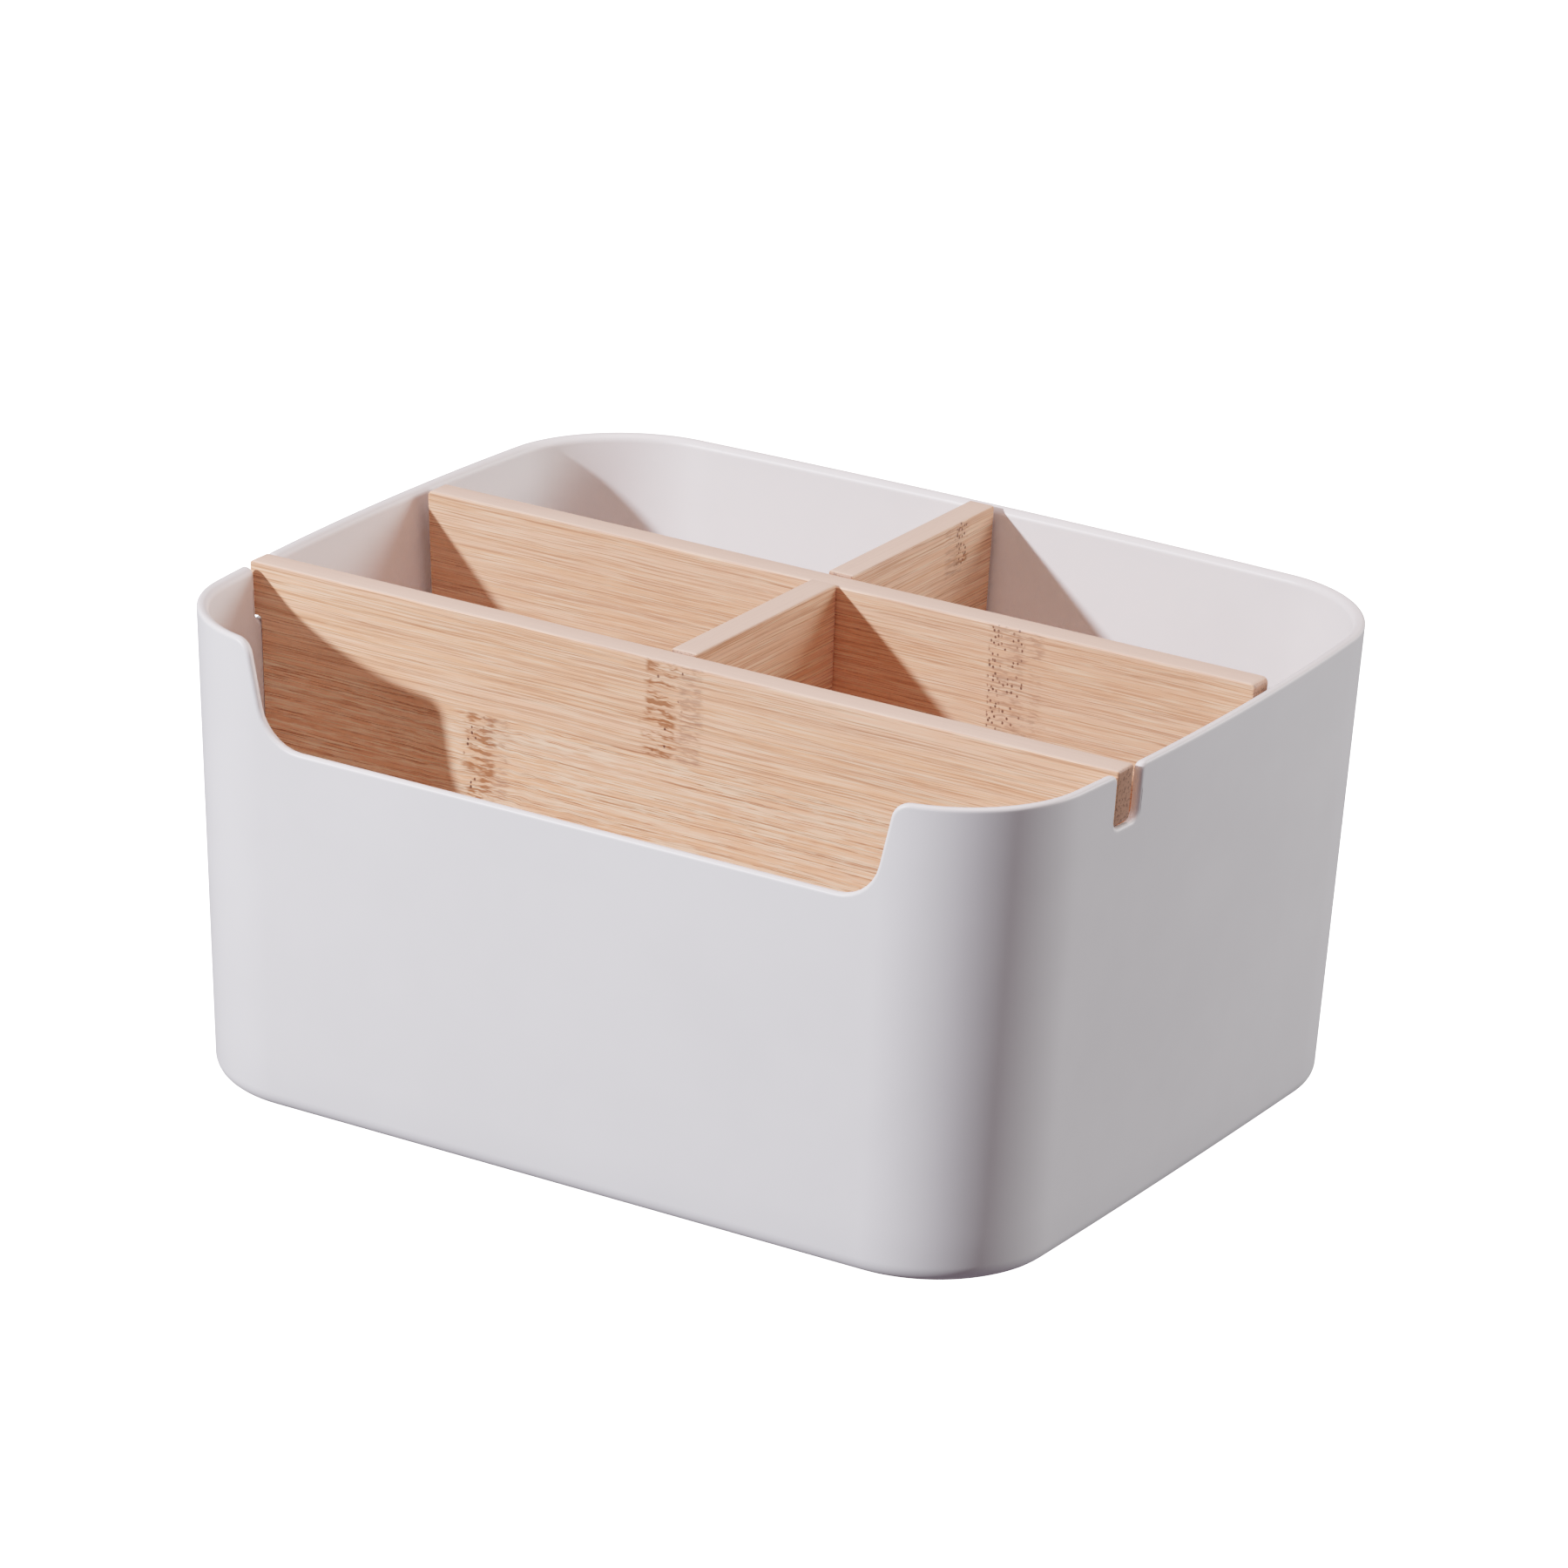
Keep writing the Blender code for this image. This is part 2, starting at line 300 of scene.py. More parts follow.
def sheet_faces(rows: int, columns: int) -> np.ndarray:
    """Number the faces of a sheet whose rows close on themselves.

    A face goes from a point to the next one round, and back over the two above them, so it
    faces outwards where the rows climb.

    Args:
        rows: how many rows of points there are.
        columns: how many points a row has.

    Returns:
        Rows of four point numbers.
    """
    near = np.arange(columns)
    far = np.roll(near, -1)
    strip = np.column_stack((near, far, far + columns, near + columns))
    return (strip[None] + (np.arange(rows - 1) * columns)[:, None, None]).reshape(-1, 4)


def fill_faces(outline: np.ndarray) -> np.ndarray:
    """Fill a flat outline with triangles that use its own points only, all turning its way.

    Args:
        outline: the points, anticlockwise.

    Returns:
        Rows of three point numbers.
    """
    points = [Vector(point) for point in outline.tolist()]
    inside_only, closeness = 1, 1e-9
    _, _, triangles, sources, _, _ = delaunay_2d_cdt(
        points, [], [list(range(len(points)))], inside_only, closeness)
    numbers = np.array([source[0] for source in sources])
    return numbers[np.array([list(triangle) for triangle in triangles])]


def edge_profile(first: float, second: float, thickness: float, steps: int) -> np.ndarray:
    """Go over a rounded edge, from one face to the other.

    Args:
        first: the radius of the rounding at the first face.
        second: the radius of the rounding at the second face.
        thickness: from face to face.
        steps: the stretches of each rounding.

    Returns:
        Rows of how far in from the edge, and how far from the first face.
    """
    turn = np.linspace(0, math.pi / 2, steps + 1)
    quarter = np.column_stack((1 - np.sin(turn), 1 - np.cos(turn)))
    return np.vstack((quarter * first, quarter[::-1] * (second, -second) + (0, thickness)))


# Shader maths


class Signal:
    """A value in a node tree, which Python's operators carry on with Math nodes."""

    def __init__(self, nodes: "Nodes", socket: bpy.types.NodeSocket) -> None:
        """Wrap an output socket of a tree."""
        self.nodes = nodes
        self.socket = socket

    def __add__(self, other: "Number") -> "Signal":
        """Add."""
        return self.nodes.math("ADD", self, other)

    def __sub__(self, other: "Number") -> "Signal":
        """Take away."""
        return self.nodes.math("SUBTRACT", self, other)

    def __rsub__(self, other: "Number") -> "Signal":
        """Take this away from a number."""
        return self.nodes.math("SUBTRACT", other, self)

    def __mul__(self, other: "Number") -> "Signal":
        """Multiply."""
        return self.nodes.math("MULTIPLY", self, other)

    def __truediv__(self, other: "Number") -> "Signal":
        """Divide."""
        return self.nodes.math("DIVIDE", self, other)

    def __rtruediv__(self, other: "Number") -> "Signal":
        """Divide a number by this."""
        return self.nodes.math("DIVIDE", other, self)

    def __abs__(self) -> "Signal":
        """Drop the sign."""
        return self.nodes.math("ABSOLUTE", self)

    __radd__ = __add__
    __rmul__ = __mul__


Number = Union[float, Signal]


class Nodes:
    """A node tree under construction, of a material or of the world."""

    def __init__(self, owner: Union[bpy.types.Material, bpy.types.World]) -> None:
        """Start from an empty tree.

        Args:
            owner: what the tree belongs to.
        """
        owner.use_nodes = True
        self.tree = owner.node_tree
        self.tree.nodes.clear()

    def node(self, kind: str, settings: Dict[str, object], inputs: Dict[Union[int, str], object],
             output: Union[int, str] = 0) -> Signal:
        """Add a node.

        Args:
            kind: the node's type.
            settings: its own settings, made before its sockets are filled.
            inputs: a value or a signal for each socket, by name or number.
            output: the output wanted.

        Returns:
            That output.
        """
        made = self.tree.nodes.new(kind)
        for name, value in settings.items():
            setattr(made, name, value)
        for name, value in inputs.items():
            if isinstance(value, Signal):
                self.tree.links.new(value.socket, made.inputs[name])
            else:
                made.inputs[name].default_value = value
        return Signal(self, made.outputs[output])

    def math(self, operation: str, *values: Number) -> Signal:
        """Add a Math node.

        Args:
            operation: its operation.
            values: its inputs, in order.

        Returns:
            Its result.
        """
        return self.node("ShaderNodeMath", {"operation": operation}, dict(enumerate(values)))

    def by_ray(self, others: Signal, camera: Signal) -> Signal:
        """Mix two shaders, of which the camera sees the second and all other rays the first."""
        seen = self.node("ShaderNodeLightPath", {}, {}, "Is Camera Ray")
        return self.node("ShaderNodeMixShader", {}, {0: seen, 1: others, 2: camera})

    def show(self, kind: str, surface: Signal) -> None:
        """Close the tree with an output node of a kind."""
        output = self.tree.nodes.new(kind)
        self.tree.links.new(surface.socket, output.inputs["Surface"])


class Shade(Nodes):
    """A material under construction."""

    def __init__(self, name: str) -> None:
        """Start a material of this name."""
        self.material = bpy.data.materials.new(name)
        super().__init__(self.material)

    def read(self, coordinate: str) -> Tuple[Signal, Signal, Signal]:
        """Read x, y and z on the object, of the point (Object) or of its normal (Normal)."""
        whole = self.node("ShaderNodeTexCoord", {}, {}, coordinate)
        return tuple(self.node("ShaderNodeSeparateXYZ", {}, {0: whole}, axis) for axis in "XYZ")

    def vector(self, x: Number, y: Number, z: Number) -> Signal:
        """Put three values together."""
        return self.node("ShaderNodeCombineXYZ", {}, {0: x, 1: y, 2: z})

    def scaled(self, place: Sequence[Signal], pitches: Sequence[float]) -> Signal:
        """Put a place together, measured along each axis in a pattern's own pitch."""
        return self.vector(*(part / pitch for part, pitch in zip(place, pitches)))

    def noise(self, vector: Signal, detail: float = 2, roughness: float = 0.5) -> Signal:
        """Smooth noise of one wave per unit.

        Args:
            vector: where it is read.
            detail: how many finer octaves it has.
            roughness: how strong they are.

        Returns:
            Its value, mostly 0.3 to 0.7.
        """
        return self.node("ShaderNodeTexNoise", {"noise_dimensions": "3D"},
                         {"Vector": vector, "Scale": 1, "Detail": detail, "Roughness": roughness})

    def step(self, value: Signal, start: float, end: float) -> Signal:
        """Rise smoothly from 0 at start to 1 at end, or fall where end is the lower."""
        low, high = (0, 1) if start < end else (1, 0)
        return self.node("ShaderNodeMapRange", {"interpolation_type": "SMOOTHSTEP"},
                         {"Value": value, "From Min": min(start, end), "From Max": max(start, end),
                          "To Min": low, "To Max": high})

    def between(self, value: Signal, low: float, high: float, outside: float,
                inside: float) -> Signal:
        """Give 1 between two limits and 0 beyond them, turning from outside to inside each."""
        rise = self.step(value, low - outside, low + inside)
        return rise * self.step(value, high + outside, high - inside)

    def blend(self, first: Union[Colour, Signal], second: Union[Colour, Signal],
              share: Number) -> Signal:
        """Mix two colours.

        Args:
            first: the colour at share 0.
            second: the colour at share 1.
            share: how much of the second.

        Returns:
            The mixed colour.
        """
        first, second = (c if isinstance(c, Signal) else (*c, 1) for c in (first, second))
        # Sockets 6 and 7 and output 2 are the ones for colours.
        return self.node("ShaderNodeMix", {"data_type": "RGBA"}, {0: share, 6: first, 7: second}, 2)

    def bump(self, height: Signal, depth: float) -> Signal:
        """Turn a height of 0 to 1 into a normal, for relief of a depth in metres."""
        return self.node("ShaderNodeBump", {}, {"Height": height, "Distance": depth})

    def finish(self, **inputs: object) -> bpy.types.Material:
        """Close the material with one Principled shader.

        Args:
            inputs: a value or a signal for each socket, its name's spaces written as
                underscores.

        Returns:
            The material.
        """
        sockets = {name.replace("_", " "): value for name, value in inputs.items()}
        self.show("ShaderNodeOutputMaterial", self.node("ShaderNodeBsdfPrincipled", {}, sockets))
        return self.material


# Finishes


@dataclass(frozen=True)
class SatinPlastic:
    """Moulded plastic with a fine even grain and a low gloss."""

    name: str
    colour: Colour
    darkest: float = 0.97
    roughness: float = 0.40
    roughness_swing: float = 0.12
    ior: float = 1.46
    grain_pitch: float = 0.00035
    grain_depth: float = 0.00001
    cloud_pitch: float = 0.045

    def material(self) -> bpy.types.Material:
        """Make the material: even white, its gloss a little uneven.

        Returns:
            The material.
        """
        shade = Shade(self.name)
        place = shade.read("Object")
        grain = shade.noise(shade.scaled(place, (self.grain_pitch,) * 3), 2, 0.6)
        cloud = shade.noise(shade.scaled(place, (self.cloud_pitch,) * 3), 3, 0.6)
        darker = tuple(self.darkest * part for part in self.colour)
        tint = shade.blend(darker, self.colour, shade.step(cloud, 0.35, 0.65))
        roughness = self.roughness + (cloud - 0.5) * self.roughness_swing
        return shade.finish(Base_Color=tint, Roughness=roughness, IOR=self.ior,
                            Normal=shade.bump(grain, self.grain_depth))


class Grain(Enum):
    """Which way a board's fibres run."""

    ALONG_X = "x"
    ALONG_Y = "y"


class Mark(Enum):
    """What a column of a node is made of."""

    STROKES = "brown wavy strokes"
    FAINT = "greyish strokes"
    DOTS = "dark dots"


@dataclass(frozen=True)
class Column:
    """A column of marks across the fibres, part of one of the cane's nodes.

    The share is how much of it is marked, and the reach how far off the fibres ripple.
    """

    mark: Mark
    along: float
    half_width: float
    low: float = 0.0
    high: float = 0.130
    share: float = 0.6
    reach: float = 0.008


@dataclass(frozen=True)
class Bamboo:
    """Edge-glued bamboo: long fibres, strips of unlike tone, and the cane's nodes.

    The seams are the heights of the strips' joints, from the top one down. The offset moves the
    grain along, so that no two boards have the same. The fibres wander by the sway, and ripple
    by the wave near a node. Below the first seam they can be livelier.
    """

    name: str
    grain: Grain
    columns: Tuple[Column, ...]
    seams: Tuple[float, ...]
    offset: float = 0.0
    sway: float = 0.0012
    sway_pitches: Tuple[float, ...] = (0.045, 0.016, 0.020)
    wave: float = 0.0016
    wave_pitches: Tuple[float, ...] = (0.0070, 0.0030, 0.0100)
    lively: float = 0.0
    strip_contrast: float = 0.07
    joint_contrast: float = 0.25
    joint_core: float = 0.0001
    joint_reach: float = 0.0003
    bend_pitches: Tuple[float, ...] = (0.0028, 0.0040)
    stroke_pitches: Tuple[float, ...] = (0.0052, 0.0010)
    stroke_bend: float = 0.0012
    stroke_share: float = 0.80
    faint_share: float = 0.50
    film_share: float = 0.08
    dot_pitches: Tuple[float, ...] = (0.0012, 0.00144)
    dot_share: float = 0.92
    node_fade: float = 0.0040
    mark_fade: float = 0.0004
    pale_top_and_sheen_share: float = 0.85
    pore_pitch: float = 0.0009
    pore_share: float = 0.7
    relief: float = 0.00004
    roughness: float = 0.46
    roughness_swing: float = 0.3
    ior: float = 1.45
    base: Colour = linear(240, 184, 148)
    tan: Colour = linear(232, 171, 131)
    line: Colour = linear(160, 103, 68)
    light: Colour = linear(255, 220, 184)
    stroke: Colour = linear(142, 80, 40)
    faint: Colour = linear(150, 108, 84)
    speck: Colour = linear(66, 38, 26)
    # edge: the up-facing faces' tone, partly their own grain, partly a painted sheen of the light
    # from above
    edge: Colour = linear(242, 211, 190)
    end: Colour = linear(186, 136, 108)

    def material(self) -> bpy.types.Material:
        """Make the material.

        The colour is laid in this order: broad bands, long lines, dark and light dashes, the
        livelier strip's blots, strips and their joints, then the nodes, the pale top edge (partly
        its own grain, partly a painted sheen of the light from above) and the end grain.

        Returns:
            The material.
        """
        shade = Shade(self.name)
        x, y, z = shade.read("Object")
        along, through = (x, y) if self.grain is Grain.ALONG_X else (y, x)
        near = self.near_nodes(shade, along, z)
        along = along + self.offset
        place = (along, z, through)
        sway = shade.noise(shade.scaled(place, self.sway_pitches), 1) - 0.5
        ripple = shade.noise(shade.scaled(place, self.wave_pitches), 1) - 0.5
        up = z + sway * self.sway + ripple * near * self.wave

        def below(level: float) -> Signal:
            """1 below a height, 0 above it."""
            return shade.step(z, level + self.joint_core, level - self.joint_core)

        def fibres(length: float, pitch: float, detail: float, shift: float) -> Signal:
            """Noise drawn out along the grain: its length along, its pitch across, its place."""
            spot = shade.vector(along / length + shift, up / pitch, through / pitch)
            return shade.noise(spot, detail, 0.6)

        broad = fibres(0.200, 0.0180, 1, 0)
        bands = fibres(0.120, 0.0034, 2, 7)
        lines = fibres(0.110, 0.00056, 2, 19)
        dark = fibres(0.036, 0.00032, 1, 31)
        pale = fibres(0.022, 0.00030, 1, 47)
        flecks = fibres(0.005, 0.00034, 1, 61)
        blots = fibres(0.014, 0.0011, 2, 83)
        lively = below(self.seams[0]) * self.lively
        colour = shade.blend(self.base, self.tan, shade.step(broad * 0.4 + bands * 0.6, 0.38, 0.62))
        layers = (
            (self.line, lines, 0.52, 0.60, 0.38),
            (self.line, dark, 0.52, 0.63, 0.56 + lively),
            (self.light, pale, 0.53, 0.65, 0.50 + lively),
            (self.light, flecks, 0.56, 0.68, 0.15 + lively),
            (self.light, blots, 0.51, 0.64, lively * 1.5),
            (self.tan, blots, 0.48, 0.36, lively * 2),
        )
        for tone, pattern, start, full, share in layers:
            colour = shade.blend(colour, tone, shade.step(pattern, start, full) * share)
        for index, seam in enumerate(self.seams):
            tone = self.line if index % 2 == 0 else self.light
            colour = shade.blend(colour, tone, below(seam) * self.strip_contrast)
            joint = shade.step(abs(z - seam), self.joint_reach, self.joint_core)
            colour = shade.blend(colour, self.line, joint * self.joint_contrast)
        height = dark * 0.5 + lines * 0.5 - pale * 0.3

        normal_x, normal_y, normal_z = shade.read("Normal")
        endways = normal_x if self.grain is Grain.ALONG_X else normal_y
        top = shade.step(abs(normal_z), 0.45, 0.9)
        for column in self.columns:
            colour = self.lay_column(shade, colour, column, along, z, 1 - top)
        # Pale the up-facing faces: partly their own grain, partly a painted sheen of the top light
        colour = shade.blend(colour, self.edge, top * self.pale_top_and_sheen_share)
        pores = shade.noise(shade.scaled(place, (self.pore_pitch,) * 3), 2, 0.7)
        sawn = shade.blend(self.end, self.speck, shade.step(pores, 0.5, 0.68) * self.pore_share)
        colour = shade.blend(colour, sawn, shade.step(abs(endways), 0.55, 0.9))
        roughness = self.roughness + (lines - 0.5) * self.roughness_swing
        return shade.finish(Base_Color=colour, Roughness=roughness, IOR=self.ior,
                            Normal=shade.bump(height, self.relief))

    def near_nodes(self, shade: Shade, along: Signal, up: Signal) -> Signal:
        """Tell how near one of the cane's nodes is.

        Args:
            shade: the material.
            along: the place along the board.
            up: the height.

        Returns:
            1 at a column of marks, falling to 0 where its reach along the board ends.
        """
        near = along * 0
        for column in self.columns:
            beside = shade.step(abs(along - column.along), column.reach, self.node_fade / 2)
            level = shade.between(up, column.low, column.high, self.node_fade, self.node_fade / 2)
            near = shade.math("MAXIMUM", near, beside * level)
        return near

    def lay_column(self, shade: Shade, colour: Signal, column: Column, along: Signal, up: Signal,
                   flank: Signal) -> Signal:
        """Lay one column of marks over the colour.

        Strokes are the crests of noise that is drawn out along the grain and bent by a second
        noise. Dots are the middles of the cells of a Voronoi pattern, where the cell's own random
        value says that there is one.

        Args:
            shade: the material.
            colour: the colour so far.
            column: the column.
            along: the place along the board, with the board's offset.
            up: the height.
            flank: 1 on the board's faces, 0 on its top.

        Returns:
            The colour with the marks on it.
        """
        seed = column.along * 1000
        bend_length, bend_pitch = self.bend_pitches
        bend = shade.noise(shade.vector(along / bend_length, up / bend_pitch, seed), 1) - 0.5
        if column.mark is Mark.DOTS:
            length, pitch = self.dot_pitches
            settings = {"voronoi_dimensions": "2D"}
            values = {"Vector": shade.vector(along / length, up / pitch, 0.0), "Scale": 1,
                      "Randomness": 1}
            near = shade.node("ShaderNodeTexVoronoi", settings, values, "Distance")
            draw = shade.node("ShaderNodeTexVoronoi", settings, values, "Color")
            red, green = (shade.node("ShaderNodeSeparateColor", {}, {0: draw}, i) for i in (0, 1))
            there = shade.step(red, column.share + 0.01, column.share - 0.01)
            marks = shade.step(near - green * 0.09, 0.29, 0.17) * there * self.dot_share
            tone = self.speck
        else:
            length, pitch = self.stroke_pitches
            bent = up + bend * self.stroke_bend
            crests = shade.noise(shade.vector(along / length, bent / pitch, seed), 2, 0.55)
            middle = 0.69 - 0.22 * column.share
            marks = shade.step(crests, middle - 0.05, middle + 0.09)
            brown = column.mark is Mark.STROKES
            marks = marks * (self.stroke_share if brown else self.faint_share) + self.film_share
            tone = self.stroke if brown else self.faint
        off = abs(along - (column.along + self.offset) + bend * column.half_width * 0.8)
        inside = shade.step(off, column.half_width * 1.25, column.half_width * 0.6)
        tall = shade.between(up, column.low, column.high, self.mark_fade, self.mark_fade)
        return shade.blend(colour, tone, marks * inside * tall * flank)


# Sub-assemblies


@dataclass
class Tray:
    """The moulded tray: one wall carried round its plan, with a rim that dips at the cut-outs."""

    plan: TrayPlan
    finish: SatinPlastic
    base_fillet: float = 0.0048
    outer_round: float = 0.0010
    inner_round: float = 0.0019
    cutout_width: float = 0.1890
    sill_width: float = 0.1766
    cutout_depth: float = 0.0270
    cutout_radius: float = 0.0120
    cutout_lip: float = 0.0050
    notch_depth: float = 0.0149
    notch_radius: float = 0.0025
    notch_lip: float = 0.0023
    notch_gap: float = 0.0003
    right_play: float = 0.0026
    left_play: float = 0.0012
    join_height: float = 0.0600
    column_pitch: float = 0.0016
    arc_steps: int = 8
    fillet_steps: int = 8
    wall_steps: int = 6
    rise_steps: int = 15
    rim_steps: int = 6
    floor_shares: Tuple[float, ...] = (0.5, 0.9, 0.99)
    ease: float = 0.0400

    def rim(self) -> Tuple[np.ndarray, np.ndarray]:
        """Follow the rim once round, from the middle of the cut-out's sill.

        Returns:
            Rows of how far round and how high, and the normals into the wall.
        """
        top = self.plan.height
        sill = top - self.cutout_depth
        dip = top - self.notch_depth
        front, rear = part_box("front_divider")[0].y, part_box("front_divider")[1].y
        right_ends = (front - self.notch_gap, rear + self.notch_gap + self.right_play)
        left_ends = (rear + self.notch_gap, front - self.notch_gap - self.left_play)
        girth = self.plan.stops[-1]
        sill_end = self.plan.along_front(self.sill_width / 2, sill)
        lip = self.plan.along_front(self.cutout_width / 2, top)
        right = [self.plan.along_right(place, top) for place in right_ends]
        left = [girth - self.plan.along_right(place, top) for place in left_ends]
        corners = [(0, sill), (sill_end, sill), (lip, top)]
        radii = [0, self.cutout_radius, self.cutout_lip]
        for start, end in (right, left):
            corners += [(start, top), (start, dip), (end, dip), (end, top)]
            radii += [self.notch_lip, self.notch_radius, self.notch_radius, self.notch_lip]
        corners += [(girth - lip, top), (girth - sill_end, sill), (girth, sill)]
        radii += [self.cutout_lip, self.cutout_radius, 0]
        points, normals = rounded_path(np.array(corners), radii, False, self.column_pitch,
                                       self.arc_steps)
        return points[:-1], -normals[:-1]

    def footing(self, rim: np.ndarray) -> np.ndarray:
        """Spread the columns under the rim: its way round, averaged over a stretch of the rim.

        The average of a way that never turns back never turns back either, so no two columns
        cross, and it stands still nowhere, not even under an upright edge.

        Args:
            rim: rows of how far round and how high.

        Returns:
            How far round each column stands at its foot.
        """
        girth = self.plan.stops[-1]
        steps = np.linalg.norm(np.diff(rim, axis=0), axis=1)
        length = np.concatenate(((0,), np.cumsum(steps)))
        whole = length[-1] + np.linalg.norm((rim[0] + (girth, 0)) - rim[-1])
        lengths = np.concatenate((length - whole, length, length + whole))
        ways = np.concatenate((rim[:, 0] - girth, rim[:, 0], rim[:, 0] + girth))
        area = np.concatenate(((0,), np.cumsum(np.diff(lengths) * (ways[1:] + ways[:-1]) / 2)))
        high = np.interp(length + self.ease / 2, lengths, area)
        low = np.interp(length - self.ease / 2, lengths, area)
        return (high - low) / self.ease

    def build(self) -> bpy.types.Object:
        """Make the tray's mesh, from the middle of its underside over the rim to its floor.

        Returns:
            The piece, dressed and riding on its body.
        """
        plan = self.plan
        rim, inward = self.rim()
        foot = self.footing(rim)
        join = np.column_stack((foot, np.full(foot.size, self.join_height)))
        centre = np.array((0, plan.middle_y, 0))
        rows: List[np.ndarray] = []

        def flat_rows(height: float, shares: Sequence[float]) -> None:
            """Add level rings inside the fillet, shrunk towards the middle by these shares."""
            way = plan.points(foot, height, self.base_fillet) - (centre + (0, 0, height))
            rows.extend(centre + (0, 0, height) + way * share for share in shares)

        def fillet_rows(radius: float, start: float, turns: np.ndarray) -> None:
            """Add the rings of a quarter round, from a start that is its inset and height."""
            rows.extend(plan.points(foot, start + radius * (1 - math.cos(turn)),
                                    start + radius * (1 - math.sin(turn))) for turn in turns)

        def wall_rows(inset: float, heights: Sequence[float]) -> None:
            """Add level rings of the plain wall."""
            rows.extend(plan.points(foot, height, inset) for height in heights)

        def rising_rows(inset: float, radius: float, shares: np.ndarray) -> None:
            """Add rings between the plain wall and the dipping rim, straight from one to other."""
            ways = (join + (rim + inward * radius - join) * share for share in shares)
            rows.extend(plan.points(way[:, 0], way[:, 1], inset) for way in ways)

        turns = np.linspace(0, math.pi / 2, self.fillet_steps + 1)
        shares = 1 - (1 - np.linspace(0, 1, self.rise_steps + 1)[1:-1]) ** 2
        heights = np.linspace(self.base_fillet, self.join_height, self.wall_steps + 1)
        flat_rows(0, self.floor_shares)
        fillet_rows(self.base_fillet, 0, turns)
        wall_rows(0, heights[1:])
        rising_rows(0, self.outer_round, shares)
        for inset, depth in edge_profile(self.outer_round, self.inner_round, plan.wall,
                                         self.rim_steps):
            edge = rim + inward * inset
            rows.append(plan.points(edge[:, 0], edge[:, 1], depth))
        rising_rows(plan.wall, self.inner_round, shares[::-1])
        wall_rows(plan.wall, heights[:0:-1])
        fillet_rows(self.base_fillet - plan.wall, plan.wall, turns[::-1])
        flat_rows(plan.wall, self.floor_shares[::-1])

        count = foot.size
        sheet = np.vstack(rows)
        quads = sheet_faces(len(rows), count)
        first, last = len(sheet), len(sheet) + 1
        near = np.arange(count)
        far = np.roll(near, -1)
        end = first - count
        under = np.column_stack((np.full(count, first), far, near))
        floor = np.column_stack((near + end, far + end, np.full(count, last)))
        points = np.vstack((sheet, centre, centre + (0, 0, plan.wall)))
        piece = mesh_piece("tray_shell", points, quads.tolist() + under.tolist() + floor.tolist())
        piece.data.materials.append(self.finish.material())
        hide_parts("tray")
        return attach(piece, "tray")


@dataclass
class Board:
    """A flat divider with eased edges, made from its outline."""

    node: str
    finish: Bamboo
    outline: List[Tuple[float, float, float]]
    edge_round: float = 0.0006
    seat: float = 0.0002
    nook: float = 0.0003
    pitch: float = 0.0040
    corner_ease: float = 1.1
    arc_steps: int = 6
    edge_steps: int = 4

    def build(self) -> bpy.types.Object:
        """Make the board: a flat face, its rounded edge carried round the outline, a flat face.

        Returns:
            The piece, dressed and riding on its body.
        """
        low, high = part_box(self.node)
        across = self.finish.grain is Grain.ALONG_Y
        face, thickness = (low.x, high.x - low.x) if across else (low.y, high.y - low.y)
        inner = self.edge_round + self.seat
        corners = np.array([corner[:2] for corner in self.outline])
        before = corners - np.roll(corners, 1, axis=0)
        after = np.roll(corners, -1, axis=0) - corners
        outward = before[:, 0] * after[:, 1] - before[:, 1] * after[:, 0] > 0
        least = np.where(outward, inner * self.corner_ease, self.nook)
        radii = np.maximum([corner[2] for corner in self.outline], least)
        path, normals = rounded_path(corners, radii, True, self.pitch, self.arc_steps)
        profile = edge_profile(self.edge_round, self.edge_round, thickness, self.edge_steps)
        profile = np.vstack(((inner, 0), profile, (inner, thickness)))
        rows: List[np.ndarray] = []
        for inset, depth in profile:
            edge = path + normals * inset
            level = np.full(len(edge), face + depth)
            pair = (level, edge[:, 0]) if across else (edge[:, 0], level)
            rows.append(np.column_stack((*pair, edge[:, 1])))
        count = len(path)
        quads = sheet_faces(len(rows), count)
        back = fill_faces(path + normals * inner)
        front = back[:, ::-1]
        back = back + count * (len(rows) - 1)
        if not across:
            quads, front, back = quads[:, ::-1], front[:, ::-1], back[:, ::-1]
        faces = quads.tolist() + front.tolist() + back.tolist()
        piece = mesh_piece(self.node + "_board", np.vstack(rows), faces)
        piece.data.materials.append(self.finish.material())
        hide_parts(self.node)
        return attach(piece, self.node)


